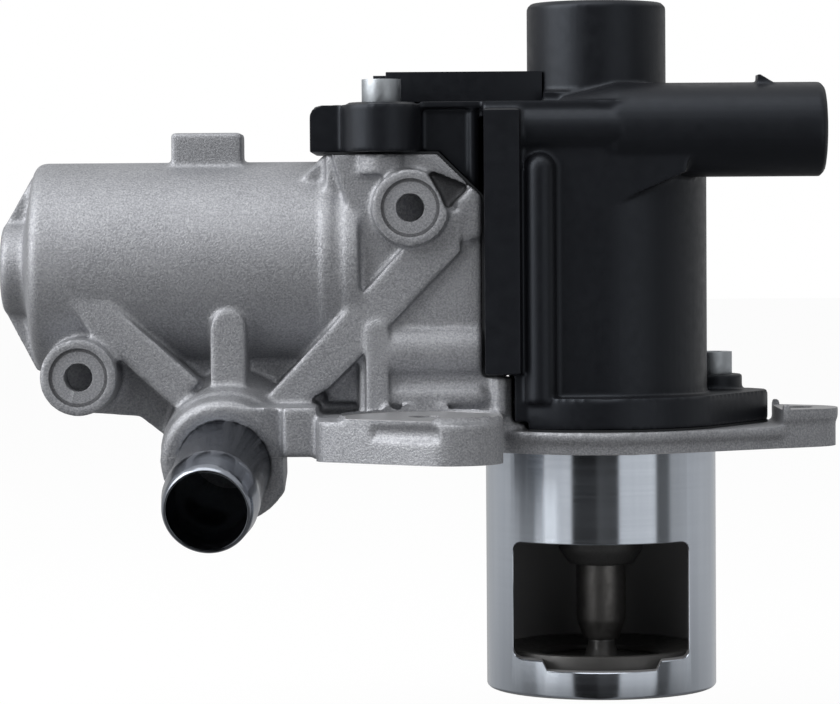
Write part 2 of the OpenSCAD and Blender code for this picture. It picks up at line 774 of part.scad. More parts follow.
module motor_pinion() {
    color("goldenrod") difference() {
        gear([wheel_x[0] - 0.5, wheel_x[1] + 0.5], motor_module, motor_teeth, motor_phase, motor_c);
        x_rod(-far, 0, 1.6, motor_c);
    }
}

// Gear train

module idler_pin() {
    color("silver") x_rod(plate_x[0], carrier_x + carrier_t, 2, idler_c);
}

module idler_gear() {
    color("ivory") difference() {
        union() {
            gear(wheel_x, motor_module, wheel_teeth, wheel_phase, idler_c);
            gear([wheel_x[1], output_x[1]], output_module, idler_teeth, idler_phase, idler_c);
            x_rod(plate_x[1] + 0.5, wheel_x[0], 3.4, idler_c);
        }
        x_rod(-far, 0, 2 + running_gap, idler_c);
        for (k = [0:5]) let (p = idler_c + polar(9.6, wheel_phase + 30 + 60 * k))
            x_rod(wheel_x[0] - 1, wheel_x[0] + 3, 2.2, p);
    }
}

module sector_gear() {
    lead = 14;
    sweep = valve_travel / pitch_r(output_module, drive_teeth) * 180 / PI;
    color("ivory") side_plate(output_x[0], output_x[1]) translate(output_c) difference() {
        union() {
            circle(9);
            intersection() {
                gear_outline(output_module, output_teeth, output_phase);
                polygon([[0, 0], for (i = [0:8])
                    polar(far, output_phase - sweep - lead + i * (sweep + 2 * lead) / 8)]);
            }
        }
        circle(shaft_r);
    }
}

module output_shaft() {
    end = drive_w / 2 + 1.5;
    color("silver") turned_x(output_c[0], output_c[1]) polygon([[0, output_x[0] - 0.7],
        [shaft_r - 0.4, output_x[0] - 0.7], [shaft_r, output_x[0] - 0.3], [shaft_r, -drive_w / 2],
        [shaft_r - 1, -drive_w / 2], [shaft_r - 1, end - 0.4], [shaft_r - 1.4, end], [0, end]]);
}

module drive_pinion() {
    color("silver") difference() {
        gear([-drive_w / 2, drive_w / 2], output_module, drive_teeth, drive_phase, output_c);
        x_rod(-far, far, shaft_r - 1, output_c);
    }
}

module race_cut(x, gap) {
    turned_x(output_c[0], output_c[1]) translate([ball_pitch, x + bearing_w / 2]) circle(ball_r + gap);
}

module bearing_outer_rings() {
    color("silver") for (x = bearing_x) difference() {
        x_rod(x, x + bearing_w, bearing_r, output_c);
        x_rod(x - 1, x + bearing_w + 1, ball_pitch + 0.7, output_c);
        race_cut(x, 0.03);
    }
}

module bearing_inner_rings() {
    color("silver") for (x = bearing_x) difference() {
        x_rod(x, x + bearing_w, ball_pitch - 0.7, output_c);
        x_rod(x - 1, x + bearing_w + 1, shaft_r, output_c);
        race_cut(x, 0.03);
    }
}

module bearing_balls() {
    balls = 9;
    color("gainsboro") for (x = bearing_x) {
        for (k = [0:balls - 1]) let (p = output_c + polar(ball_pitch, k * 360 / balls))
            translate([x + bearing_w / 2, p[0], p[1]]) sphere(ball_r, $fn = 32);
        // Cage that spaces the balls
        difference() {
            x_rod(x + bearing_w / 2 - 0.3, x + bearing_w / 2 + 0.3, ball_pitch + 0.35, output_c);
            x_rod(x, x + bearing_w, ball_pitch - 0.35, output_c);
        }
    }
}

module shaft_clip() {
    color("darkgray") side_plate(bearing_x[0] - 1.2, bearing_x[0] - 0.2) translate(output_c)
        difference() {
            circle(shaft_r + 1.4);
            circle(shaft_r);
        }
}

module bearing_carrier() {
    front = -pocket_front - ledge + 0.1;
    color("lightgray") difference() {
        union() {
            block([carrier_x, front, pocket_floor + 0.1], [carrier_x + carrier_t, pocket_back + ledge - 0.1,
                joint_top - 2]);
            x_rod(carrier_x, carrier_end, bearing_r + 3, output_c);
            x_rod(carrier_x, carrier_x + carrier_t + 2, 5, idler_c);
        }
        x_rod(carrier_x - 1, carrier_x + bearing_w, bearing_r, output_c);
        x_rod(carrier_end - bearing_w, 0, bearing_r, output_c);
        x_rod(-far, 0, bearing_r - 1, output_c);
        x_rod(-far, carrier_x + carrier_t, 2, idler_c);
        for (p = carrier_screw_at) x_rod(-far, 0, 1.5, p);
    }
}

module carrier_screws() {
    color("gainsboro") for (p = carrier_screw_at)
        translate([carrier_x + carrier_t, p[0], p[1]]) rotate([0, 90, 0])
            screw(2.75, 2, 1.5, carrier_t + 7);
}

// Stem parts

module rack() {
    m = output_module;
    p = PI * m;
    half_tip = p / 4 - backlash / 4 - m * tan(pressure_angle);
    half_root = p / 4 - backlash / 4 + 1.25 * m * tan(pressure_angle);
    root_y = rack_y - 1.25 * m;
    teeth = [for (k = [-2:3]) shaft_z + p / 2 + k * p];
    color("ivory") difference() {
        side_plate(-3.5, 3.5) polygon([[-4.5, rack_bottom], [root_y, rack_bottom],
            for (z = teeth) each [[root_y, z - half_root], [rack_y + m, z - half_tip],
                [rack_y + m, z + half_tip], [root_y, z + half_root]],
            [root_y, rack_top], [-4.5, rack_top]]);
        z_rod(0, far, stem_r);
    }
}

module spring_retainer() {
    color("lightsteelblue") rotate_extrude() polygon([[stem_r, retainer_z - 1.5], [5.5, retainer_z - 1.5],
        [7, retainer_z], [coil_r + 2, retainer_z], [coil_r + 2, retainer_z + 1.2], [7.5, retainer_z + 1.2],
        [6, rack_bottom], [stem_r, rack_bottom]]);
}

module stem_clip() {
    color("darkgray") difference() {
        z_rod(rack_top, rack_top + clip_t, stem_r + 2);
        z_rod(0, far, stem_r);
        block([-1.4, 0, rack_top - 1], [1.4, far, rack_top + clip_t + 1]);
    }
}

module magnet_holder() {
    base = rack_top + clip_t;
    color("dimgray") rotate_extrude() polygon([[stem_r, base], [5.2, base], [5.2, magnet_z[1]],
        [4, magnet_z[1]], [4, magnet_z[0]], [0, magnet_z[0]], [0, stem_top], [stem_r, stem_top]]);
}

module sensor_magnet() {
    color("dimgray") z_rod(magnet_z[0], magnet_z[1], 4);
}

// Closed ends, then an even pitch between the floor and the retainer
function coil_z(t, lo, hi) =
    let (s = t * coil_turns, closed = 0.5, free = coil_turns - 2 * closed)
    lo + (hi - lo) * (max(0, min(1, (s - closed) / free)));
module return_spring() {
    sides = 8;
    steps = 16 * coil_turns;
    lo = spring_floor + wire_r;
    hi = retainer_z - wire_r;
    rings = [for (i = [0:steps]) let (t = i / steps, a = t * coil_turns * 360)
        [for (k = [0:sides - 1]) let (b = k * 360 / sides, r = coil_r + wire_r * cos(b))
            [r * cos(a), r * sin(a), coil_z(t, lo, hi) + wire_r * sin(b)]]];
    points = [for (ring = rings) each ring];
    last = steps * sides;
    faces = [[for (k = [0:sides - 1]) k], [for (k = [sides - 1:-1:0]) last + k],
        for (i = [0:steps - 1], k = [0:sides - 1]) let (j = (k + 1) % sides)
            [i * sides + k, (i + 1) * sides + k, (i + 1) * sides + j, i * sides + j]];
    color("silver") polyhedron(points, faces);
}

// Cover

module skirt_outline() {
    link([0, 0], flange_r - 1, [28, 8], 10);
    for (s = skirt_screws) link([0, 0], 20, s, skirt_pad_r);
}

module cover_shell() {
    skirt_top = skirt_z + skirt_t;
    z_rod(skirt_z, roof_z, cover_r);
    block([-joint_face, -panel_y, skirt_z], [0, cover_back, roof_z]);
    // Rim that meets the housing
    block([-joint_face, -27, shoulder_z], [-18.3, cover_back + 1, roof_z - 1.7]);
    // Skirt with the screw pads
    translate([0, 0, skirt_z]) linear_extrude(skirt_t) skirt_outline();
    for (s = skirt_screws) z_rod(skirt_z, skirt_pad_z, skirt_pad_r, s);
    // Roof over the gears, rounded at its left end, with the screw lobes
    left_end = -63.6;
    round_r = 2.6;
    low_roof = roof_z - 0.5;
    front_plate(-17, cover_back) polygon([[-18.6, joint_top], [left_end, joint_top],
        for (i = [0:6]) [left_end + round_r * (1 - cos(i * 15)), low_roof - round_r * (1 - sin(i * 15))],
        [-18.6, low_roof]]);
    for (s = top_screws) {
        z_rod(joint_top, low_roof, screw_lobe_r, s);
        z_rod(joint_top, top_pad_z, screw_lobe_r - 1.5, s);
    }
    // Tabs on the left end
    block([left_end + 0.3, 2, roof_z - 4], [left_end + 4.1, 12, roof_z - 0.1]);
    block([left_end + 4.3, 2, roof_z - 4], [left_end + 7, 12, roof_z + 0.2]);
    // Recessed wall over the sloping joint, with a lip along its top and a ridge at its right
    front_plate(-18, cover_back) polygon([joint_corner + [-3, 0], joint_corner,
        joint_line[1], joint_line[1] + [2, 0], [-joint_face + 2, roof_z - 1],
        [joint_corner[0] - 3, roof_z - 1]]);
    block([-39.5, -19.5, roof_z - 1.4], [-10.1, 20, roof_z + 0.1]);
    z_rod(joint_line[1][1], roof_z - 1, 0.9, [-joint_face - 2.3, -18]);
    // Half-round pillar and flat front panel
    pillar_r = 3.4;
    translate([-14, -panel_y, 0]) rotate_extrude() polygon([[0, skirt_top - 1], [pillar_r, skirt_top - 1],
        for (i = [0:6]) [pillar_r * cos(i * 15), 61.4 + pillar_r * sin(i * 15)]]);
    // Rounded bulge under the roof, left of the connector
    x_rod(-18.5, 3.5, 5.4, [-20, 70]);
    // Raised seat of the lid
    block([lid_lo[0], lid_lo[1], roof_z - 1], [lid_hi[0] + 2, lid_hi[1], lid_lo[2]]);
}

module sensor_dome() {
    translate(dome_c) rotate_extrude() polygon([[0, roof_z - 4], [dome_r, roof_z - 4], [dome_r, dome_z - 1],
        [dome_r - 1, dome_z], [0, dome_z]]);
}

module connector_shell() {
    turned_x(-plug_y, plug_z) polygon([[0, -9], [plug_r - 3, -9], [plug_r, 3], [plug_r, plug_end - 1],
        [plug_r - 1, plug_end], [0, plug_end]]);
    // Latch ramp on top
    front_plate(-plug_y - 3, -plug_y + 3) polygon([[33.5, plug_z + plug_r - 0.5],
        [33.5, plug_z + plug_r + 2], [36.8, plug_z + plug_r], [36.8, plug_z + plug_r - 0.5]]);
    // Gusset under the barrel, down the front of the cylinder
    front_plate(-cover_r, -8) polygon([[-10.4, 48.2], [17.4, 60.5], [19, 66], [-10.4, 66]]);
    // Bridge to the dome
    front_plate(-plug_y, -2) polygon([[-12.7, 68], [16, 68], [16, plug_z + 9.8], [1, plug_z + 10.1],
        [-5, roof_z + 2.4], [-12.7, roof_z + 2.4]]);
}

module pin_slots(grow) {
    for (z = pin_z)
        block([plug_end - socket_depth - 8, -plug_y - 0.75 - grow, z - 0.4 - grow],
            [plug_end - 7, -plug_y + 0.75 + grow, z + 0.4 + grow]);
}

module cover() {
    color("black") difference() {
        union() {
            intersection() {
                cover_shell();
                front_plate(-far, far) cover_side(0);
            }
            sensor_dome();
            connector_shell();
        }
        // Well round the stem, the way to the gears and the room over them
        z_rod(0, roof_z - cover_wall, well_r);
        block([-joint_face - 1, -room_front, 0], [-cover_wall, pocket_back, roof_z - cover_wall]);
        block([throat_x, -pocket_front, 0], [-joint_face, pocket_back, roof_z - cover_wall]);
        z_rod(roof_z - cover_wall - 1, dome_z - 2.6, dome_r - 3);
        // Connector socket
        x_rod(plug_end - socket_depth, plug_end + 1, plug_r - plug_wall, [-plug_y, plug_z]);
        pin_slots(0);
        // Screw holes with their sleeves
        for (s = concat(top_screws, skirt_screws)) z_rod(0, roof_z + 5, cover_screw_r + 1.5, s);
    }
}

module cover_lid() {
    wall = [2, 2, 2];
    color("black") {
        difference() {
            block(lid_lo, lid_hi);
            block(lid_lo + wall - [0, 0, 3], lid_hi - wall);
            z_rod(0, far, dome_r + 0.2, dome_c);
        }
        block([lid_lo[0] - 2.9, 2, lid_hi[2] - 2], [lid_lo[0] + 1, 10, lid_hi[2] - 0.3]);
    }
}

module cover_gasket() {
    color("dimgray") {
        // Strip along the joint line of the gear case
        difference() {
            front_plate(-case_front, cover_back) intersection() {
                difference() {
                    cover_side(-gasket_t);
                    cover_side(0);
                }
                translate([shelf_x, shoulder_z - gasket_t])
                    square([4 - joint_face - shelf_x, joint_top - shoulder_z + gasket_t]);
            }
            block([throat_x, -pocket_front - ledge, shoulder_z], [0, pocket_back, far]);
            x_rod(-far, 0, can_r + 0.2, motor_c);
            for (s = top_screws) z_rod(0, far, cover_screw_r + 0.2, s);
        }
        // Ring under the skirt
        translate([0, 0, skirt_z - gasket_t]) linear_extrude(gasket_t) difference() {
            skirt_outline();
            circle(well_r);
            translate([-far, -far]) square([far + skirt_left, 2 * far]);
            for (s = skirt_screws) translate(s) circle(cover_screw_r + 0.2);
        }
    }
}

module cover_screws() {
    color("gainsboro") {
        for (s = top_screws) translate([s[0], s[1], top_pad_z]) screw(4.25, 5, cover_screw_r, 24);
        for (s = skirt_screws)
            translate([s[0], s[1], skirt_pad_z]) screw(4.25, 5, cover_screw_r, skirt_pad_z - 1);
    }
}

module sleeve(lo, hi, at) {
    translate([at[0], at[1], lo]) difference() {
        cylinder(h = hi - lo, r = cover_screw_r + 1.5);
        translate([0, 0, -1]) cylinder(h = hi - lo + 2, r = cover_screw_r + 0.2);
    }
}

module compression_sleeves() {
    color("silver") {
        for (s = top_screws) sleeve(joint_top, top_pad_z, s);
        for (s = skirt_screws) sleeve(skirt_z, skirt_pad_z, s);
    }
}

module sensor_board() {
    color("darkgreen") {
        half = sqrt(pow(dome_r - 3, 2) - pow(board_x + 1.4, 2)) + 0.05;
        block([board_x, -half, roof_z - 2], [board_x + 1.4, half, dome_z - 4.6]);
        block([board_x - 1.2, -2, roof_z], [board_x + tiny, 2, roof_z + 4]);
    }
}

module connector_pins() {
    color("silver") pin_slots(0);
}

housing();
valve_tube();
seat_ring();
stem_guide();
stem_seal();
coolant_pipe();
motor_can();
motor_end_cap();
motor_magnets();
wave_spring();
motor_plate();
plate_screws();
motor_terminals();
idler_pin();
bearing_carrier();
carrier_screws();
bearing_outer_rings();
bearing_balls();
cover();
cover_lid();
cover_gasket();
cover_screws();
compression_sleeves();
sensor_board();
connector_pins();
return_spring();
motor_shaft();
armature();
windings();
commutator();
motor_pinion();
idler_gear();
output_shaft();
sector_gear();
drive_pinion();
bearing_inner_rings();
shaft_clip();
valve();
rack();
spring_retainer();
stem_clip();
magnet_holder();
sensor_magnet();
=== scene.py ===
"""Looks of a motor-driven EGR valve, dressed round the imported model. Lengths are in metres."""
import json
import math

import bmesh
import bpy
from mathutils import Euler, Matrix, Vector


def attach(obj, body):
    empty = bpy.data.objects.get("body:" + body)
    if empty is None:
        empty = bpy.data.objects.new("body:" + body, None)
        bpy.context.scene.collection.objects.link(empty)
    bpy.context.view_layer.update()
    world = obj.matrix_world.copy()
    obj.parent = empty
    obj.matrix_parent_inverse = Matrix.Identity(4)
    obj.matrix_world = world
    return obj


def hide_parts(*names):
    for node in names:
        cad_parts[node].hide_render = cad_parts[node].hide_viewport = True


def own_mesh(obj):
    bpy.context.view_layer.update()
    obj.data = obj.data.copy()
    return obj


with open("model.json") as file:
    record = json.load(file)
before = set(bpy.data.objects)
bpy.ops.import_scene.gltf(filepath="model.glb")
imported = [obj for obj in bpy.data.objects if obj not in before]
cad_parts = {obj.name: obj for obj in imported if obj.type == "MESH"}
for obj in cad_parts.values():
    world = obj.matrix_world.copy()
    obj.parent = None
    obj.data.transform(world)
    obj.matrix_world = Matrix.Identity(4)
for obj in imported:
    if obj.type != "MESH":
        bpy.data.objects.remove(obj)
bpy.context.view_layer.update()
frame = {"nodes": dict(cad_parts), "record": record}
MM = 0.001

# Camera of the photograph
CAMERA_AT = Vector((-40, -755, 51.4)) * MM
CAMERA_PITCH = math.radians(2.29)
CAMERA_ROLL = math.radians(0.4)
LENS_MM = 145.7
SENSOR_MM = 36.0
# Clear of the valve's head when the valve is open
FLOOR_Z = -67 * MM

# Sizes taken over from the solids
TUBE_R = 25.5 * MM
TUBE_BORE_R = 22 * MM
LEFT_BOSS = Vector((-113.5, -26, 17.2)) * MM
UPPER_BOSS = Vector((-41.9, -26, 53.2)) * MM
BOSSES = (LEFT_BOSS, UPPER_BOSS)
BOSS_RECESS_R = 6.3 * MM
BOSS_HOLE_R = 3 * MM
BOSS_HOLE_DEPTH = 8 * MM
LUG_HOLE = Vector((-39, -40, 9.2)) * MM
LUG_DISC_R = 18 * MM
EAR_HOLE = Vector((43.8, 0, 8.4)) * MM
EAR_R = 9 * MM
EAR_START_X = 39 * MM
BOLT_HOLE_R = 3.5 * MM
PIPE_BLOCK_X = -69.4 * MM
# Opposite corners of the hollow beside the upper boss
HOLLOW_LOW = Vector((-38.5, -20.1, 52)) * MM
HOLLOW_HIGH = Vector((-28.5, -17, 61.5)) * MM

# Details that only the looks have
BOSS_RECESS_DEPTH = 0.8 * MM
EDGE_BREAK = 0.2 * MM
# Top of the carbon and painted shade on the seat ring and the valve, and the heights of the casting's
# bore that is darkened for carbon and painted shade
SOOT_AND_SHADE_TOP = -43.5 * MM
BORE_SOOT_AND_SHADE_HEIGHTS = (-60 * MM, -1 * MM)

# Stock left on the casting for its milled faces, and the depth of the tools that take it off
FLANGE_STOCK = 1.5 * MM
PAD_STOCK = 1.2 * MM
MILL_DEPTH = 8 * MM
PAD_MILL_DEPTH = 3 * MM


# Helpers for materials

class Finish:
    """A node material with a Principled shader and short calls to add what feeds it."""

    def __init__(self, name, color, metallic, roughness, **sockets):
        self.material = bpy.data.materials.new(name)
        self.material.use_nodes = True
        self.tree = self.material.node_tree
        self.shader = self.tree.nodes["Principled BSDF"]
        self.shader.inputs["Base Color"].default_value = (*color, 1)
        self.shader.inputs["Metallic"].default_value = metallic
        self.shader.inputs["Roughness"].default_value = roughness
        for socket, value in sockets.items():
            self.shader.inputs[socket.replace("_", " ")].default_value = value
        self.place = self.tree.nodes.new("ShaderNodeTexCoord").outputs["Object"]
        self.bump = None

    def add(self, kind, inputs=None, **settings):
        node = self.tree.nodes.new("ShaderNode" + kind)
        for key, value in settings.items():
            setattr(node, key, value)
        for key, value in (inputs or {}).items():
            if isinstance(value, bpy.types.NodeSocket):
                self.tree.links.new(value, node.inputs[key])
            else:
                node.inputs[key].default_value = value
        return node

    def math(self, operation, *values):
        return self.add("Math", dict(enumerate(values)), operation=operation).outputs[0]

    def noise(self, scale, detail=2.0, roughness=0.5, stretch=(1, 1, 1)):
        place = self.add("Mapping", {"Vector": self.place, "Scale": stretch}).outputs["Vector"]
        inputs = {"Vector": place, "Scale": scale, "Detail": detail, "Roughness": roughness}
        return self.add("TexNoise", inputs).outputs["Fac"]

    def pits(self, spacing, radius):
        """Scattered round spots: 1 inside a spot, 0 elsewhere."""
        cell = self.add("TexVoronoi", {"Vector": self.place, "Scale": 1 / spacing})
        wanted = self.math("GREATER_THAN", self.split(cell.outputs["Color"])[0], 0.7)
        near = self.ramp(cell.outputs["Distance"], radius * 0.6 / spacing, radius / spacing, 1, 0)
        return self.math("MULTIPLY", wanted, near)

    def split(self, vector):
        return self.add("SeparateXYZ", {0: vector}).outputs

    def ramp(self, value, low, high, low_out, high_out):
        inputs = {"Value": value, "From Min": low, "From Max": high,
                  "To Min": low_out, "To Max": high_out}
        return self.add("MapRange", inputs).outputs["Result"]

    def inside(self, axis, centre, radius):
        """1 within a radius of a line through centre along X (0), Y (1) or Z (2)."""
        keep = [0.0 if i == axis else 1.0 for i in range(3)]
        flat = self.add("VectorMath", {0: self.place, 1: keep}, operation="MULTIPLY").outputs[0]
        middle = [c * k for c, k in zip(centre, keep)]
        away = self.add("VectorMath", {0: flat, 1: middle}, operation="DISTANCE").outputs["Value"]
        return self.math("LESS_THAN", away, radius)

    def slab(self, axis, low, high):
        """1 between two places along X (0), Y (1) or Z (2)."""
        value = self.split(self.place)[axis]
        above = self.math("GREATER_THAN", value, low)
        return self.math("MULTIPLY", above, self.math("LESS_THAN", value, high))

    def level(self, axis, place, slack):
        """1 close to one place along X (0), Y (1) or Z (2)."""
        return self.slab(axis, place - slack, place + slack)

    def box(self, low, high):
        """1 inside a box given by opposite corners."""
        flat = self.both(self.slab(0, low.x, high.x), self.slab(2, low.z, high.z))
        return self.both(self.slab(1, low.y, high.y), flat)

    def both(self, a, b):
        return self.math("MULTIPLY", a, b)

    def either(self, *masks):
        total = masks[0]
        for mask in masks[1:]:
            total = self.math("MAXIMUM", total, mask)
        return total

    def mix(self, factor, a, b):
        """Two numbers, mixed."""
        node = self.add("Mix", {"Factor": factor})
        self.socket(node.inputs[2], a)
        self.socket(node.inputs[3], b)
        return node.outputs[0]

    def mix_colors(self, factor, a, b):
        node = self.add("Mix", {"Factor": factor}, data_type="RGBA")
        self.socket(node.inputs[6], a)
        self.socket(node.inputs[7], b)
        return node.outputs[2]

    def socket(self, socket, value):
        if isinstance(value, bpy.types.NodeSocket):
            self.tree.links.new(value, socket)
        elif isinstance(value, tuple):
            socket.default_value = (*value, 1)
        else:
            socket.default_value = value

    def feed(self, socket, value):
        self.tree.links.new(value, self.shader.inputs[socket])

    def emboss(self, height, distance, strength=1.0):
        inputs = {"Height": height, "Distance": distance, "Strength": strength}
        if self.bump is not None:
            inputs["Normal"] = self.bump
        self.bump = self.add("Bump", inputs).outputs["Normal"]
        self.feed("Normal", self.bump)


def cast_aluminium():
    """Blasted casting, bright where it was milled, darkened in the bore where the gas passes for carbon
    and painted shade, with painted shade round the boss recesses and in the hollow beside the upper
    boss.
    """
    f = Finish("cast_aluminium", (0.3, 0.302, 0.315), 0.7, 0.5)
    cloud = f.ramp(f.noise(90, 3), 0.3, 0.7, 0.0, 1.0)
    tone = f.mix_colors(cloud, (0.215, 0.221, 0.238), (0.265, 0.271, 0.29))
    grain = f.ramp(f.noise(2300, 3, 0.65), 0.35, 0.65, 0.0, 1.0)
    tone = f.mix_colors(f.math("MULTIPLY", grain, 0.75), tone, (0.43, 0.438, 0.46))
    tone = f.mix_colors(f.math("MULTIPLY", f.pits(14 * MM, 0.35 * MM), 0.7), tone, (0.1, 0.1, 0.1))
    # Painted shade: a dark ring round each boss's recess, and the hollow beside the upper boss drawn
    # darker
    rims = [f.both(f.inside(1, boss, BOSS_RECESS_R + 0.05 * MM),
                   f.math("SUBTRACT", 1.0, f.inside(1, boss, BOSS_RECESS_R - 0.7 * MM)))
            for boss in BOSSES]
    recess_ring_shade = f.both(f.either(*rims), f.slab(1, LEFT_BOSS.y - 0.1 * MM, LEFT_BOSS.y + 1.5 * MM))
    hollow = f.box(HOLLOW_LOW, HOLLOW_HIGH)
    tone = f.mix_colors(f.math("MULTIPLY", recess_ring_shade, 0.6), tone, (0.06, 0.06, 0.065))
    tone = f.mix_colors(f.math("MULTIPLY", hollow, 0.8), tone, (0.03, 0.03, 0.033))
    milled = f.either(
        f.both(f.inside(2, LUG_HOLE, LUG_DISC_R), f.level(2, LUG_HOLE.z, 0.1 * MM)),
        f.both(f.inside(2, EAR_HOLE, EAR_R), f.level(2, EAR_HOLE.z, 0.1 * MM)),
        f.level(2, 0.0, 0.05 * MM))
    lathe = f.noise(1300, 2, 0.6, stretch=(1, 0.3, 1))
    milled_tone = f.mix_colors(lathe, (0.38, 0.382, 0.395), (0.5, 0.502, 0.515))
    tone = f.mix_colors(milled, tone, milled_tone)
    # Carbon and painted shade: the casting inside the tube's bore is drawn dark
    bore_soot_and_shade = f.both(f.inside(2, (0, 0, 0), TUBE_BORE_R + 0.2 * MM), f.slab(2, *BORE_SOOT_AND_SHADE_HEIGHTS))
    f.feed("Base Color", f.mix_colors(bore_soot_and_shade, tone, (0.09, 0.09, 0.09)))
    rough = f.ramp(f.noise(1500, 2), 0.3, 0.7, 0.44, 0.6)
    f.feed("Roughness", f.mix(milled, rough, 0.36))
    fine = f.math("MULTIPLY", f.noise(2300, 3, 0.65), f.mix(milled, 1.0, 0.25))
    f.emboss(fine, 0.00016, 0.8)
    f.emboss(f.noise(420, 2), 0.0002, 0.12)
    return f.material


def turned_steel():
    """Bright tube, turned so that reflections smear along it; its bore and the cut faces of its wall are
    drawn dark and dull, for carbon and painted shade.
    """
    f = Finish("turned_steel", (0.55, 0.59, 0.655), 1.0, 0.2,
               Anisotropic=0.95, Anisotropic_Rotation=0.25)
    lines = f.noise(900, 2, 0.6, stretch=(0.02, 0.02, 3))
    # Painted shade and carbon: the bore and the cut faces of the window and the ends are drawn dark and
    # dull
    bore = f.inside(2, (0, 0, 0), TUBE_R - 0.3 * MM)
    streaks = f.ramp(f.noise(260, 3, stretch=(1, 1, 0.03)), 0.3, 0.7, 0.0, 1.0)
    tone = f.mix_colors(streaks, (0.52, 0.565, 0.63), (0.58, 0.625, 0.69))
    f.feed("Base Color", f.mix_colors(bore, tone, (0.2, 0.2, 0.205)))
    f.feed("Metallic", f.math("SUBTRACT", 1.0, bore))
    f.feed("Roughness", f.mix(bore, f.ramp(lines, 0.3, 0.7, 0.17, 0.22), 0.6))
    f.emboss(lines, 0.00001, 0.1)
    return f.material


def worn_steel(name, color, rough_low, rough_high, grain_scale, height, soot_and_shade_below=None):
    """Steel with an uneven sheen and a fine grain, darkened below a height if one is given, for carbon
    and painted shade.
    """
    f = Finish(name, color, 1.0, rough_low)
    cloud = f.ramp(f.noise(200, 3), 0.3, 0.7, 0.0, 1.0)
    tone = f.mix_colors(cloud, tuple(0.85 * c for c in color), color)
    if soot_and_shade_below is not None:
        # Carbon and painted shade: everything below the height is drawn dark and dull
        soot_and_shade = f.ramp(f.split(f.place)[2], soot_and_shade_below, soot_and_shade_below + MM, 1.0, 0.0)
        tone = f.mix_colors(soot_and_shade, tone, (0.055, 0.054, 0.053))
        f.feed("Metallic", f.ramp(soot_and_shade, 0.0, 1.0, 0.7, 0.0))
    f.feed("Base Color", tone)
    f.feed("Roughness", f.ramp(f.noise(700, 3), 0.3, 0.7, rough_low, rough_high))
    f.emboss(f.noise(grain_scale, 2), height, 0.35)
    return f.material


def moulded_plastic(name, color, roughness):
    """Matt moulding with a faint bluish sheen."""
    f = Finish(name, color, 0.0, roughness,
               Specular_IOR_Level=0.35, Specular_Tint=(0.8, 0.88, 1, 1))
    cloud = f.ramp(f.noise(60, 2), 0.3, 0.7, 0.0, 1.0)
    f.feed("Base Color", f.mix_colors(cloud, tuple(0.85 * c for c in color), color))
    f.feed("Roughness", f.ramp(f.noise(500, 3), 0.3, 0.7, roughness - 0.04, roughness + 0.05))
    f.emboss(f.noise(3500, 2), 0.00003, 0.35)
    return f.material


def copper():
    """Copper with the fine ridges of wound wire."""
    f = Finish("copper", (0.7, 0.35, 0.2), 1.0, 0.3)
    f.emboss(f.noise(1600, 2, stretch=(1, 4, 4)), 0.0001, 0.6)
    return f.material


FINISHES = {
    "cast_aluminium": cast_aluminium(),
    "turned_steel": turned_steel(),
    "heat_steel": worn_steel("heat_steel", (0.56, 0.56, 0.565), 0.28, 0.44, 2500, 0.00004, SOOT_AND_SHADE_TOP),
    "sintered_steel": worn_steel("sintered_steel", (0.2, 0.195, 0.19), 0.4, 0.6, 3000, 0.00006),
    "pipe_steel": worn_steel("pipe_steel", (0.3, 0.32, 0.36), 0.14, 0.26, 700, 0.00004),
    "zinc_steel": worn_steel("zinc_steel", (0.45, 0.48, 0.51), 0.4, 0.56, 2600, 0.00006),
    "brass_pinion": worn_steel("brass_pinion", (0.6, 0.45, 0.2), 0.25, 0.4, 2600, 0.00004),
    "black_plastic": moulded_plastic("black_plastic", (0.0062, 0.0066, 0.0085), 0.4),
    "grey_plastic": moulded_plastic("grey_plastic", (0.05, 0.05, 0.055), 0.5),
    "gear_plastic": moulded_plastic("gear_plastic", (0.62, 0.58, 0.47), 0.4),
    "ferrite": moulded_plastic("ferrite", (0.03, 0.03, 0.033), 0.6),
    "circuit_board": moulded_plastic("circuit_board", (0.02, 0.11, 0.05), 0.35),
    "seal_rubber": moulded_plastic("seal_rubber", (0.015, 0.015, 0.015), 0.6),
    "copper": copper(),
}
SLOT_OF = {s["node"]: s["material_slot"] for s in frame["record"]["subparts"]}
BODY_OF = {n: b for b, members in frame["record"]["behaviour"]["bodies"].items() for n in members}
for node, obj in frame["nodes"].items():
    obj.data.materials.clear()
    obj.data.materials.append(FINISHES[SLOT_OF[node]])


# Helpers for pieces

def deselect():
    bpy.ops.object.select_all(action="DESELECT")


def pick(obj):
    deselect()
    obj.select_set(True)
    bpy.context.view_layer.objects.active = obj


def apply_all(obj):
    pick(obj)
    for modifier in list(obj.modifiers):
        bpy.ops.object.modifier_apply(modifier=modifier.name)


def merged_copy(node, name):
    """A copy of a CAD node's mesh with its loose triangles joined."""
    obj = bpy.data.objects.new(name, frame["nodes"][node].data.copy())
    bpy.context.scene.collection.objects.link(obj)
    pick(obj)
    bpy.ops.object.mode_set(mode="EDIT")
    bpy.ops.mesh.select_all(action="SELECT")
    bpy.ops.mesh.remove_doubles(threshold=1e-6)
    bpy.ops.mesh.customdata_custom_splitnormals_clear()
    bpy.ops.object.mode_set(mode="OBJECT")
    return obj


def smooth_by_angle(obj, degrees):
    pick(obj)
    bpy.ops.object.shade_smooth_by_angle(angle=math.radians(degrees))


def finish_as(obj, node):
    obj.data.materials.clear()
    obj.data.materials.append(FINISHES[SLOT_OF[node]])
    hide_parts(node)
    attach(obj, BODY_OF[node])


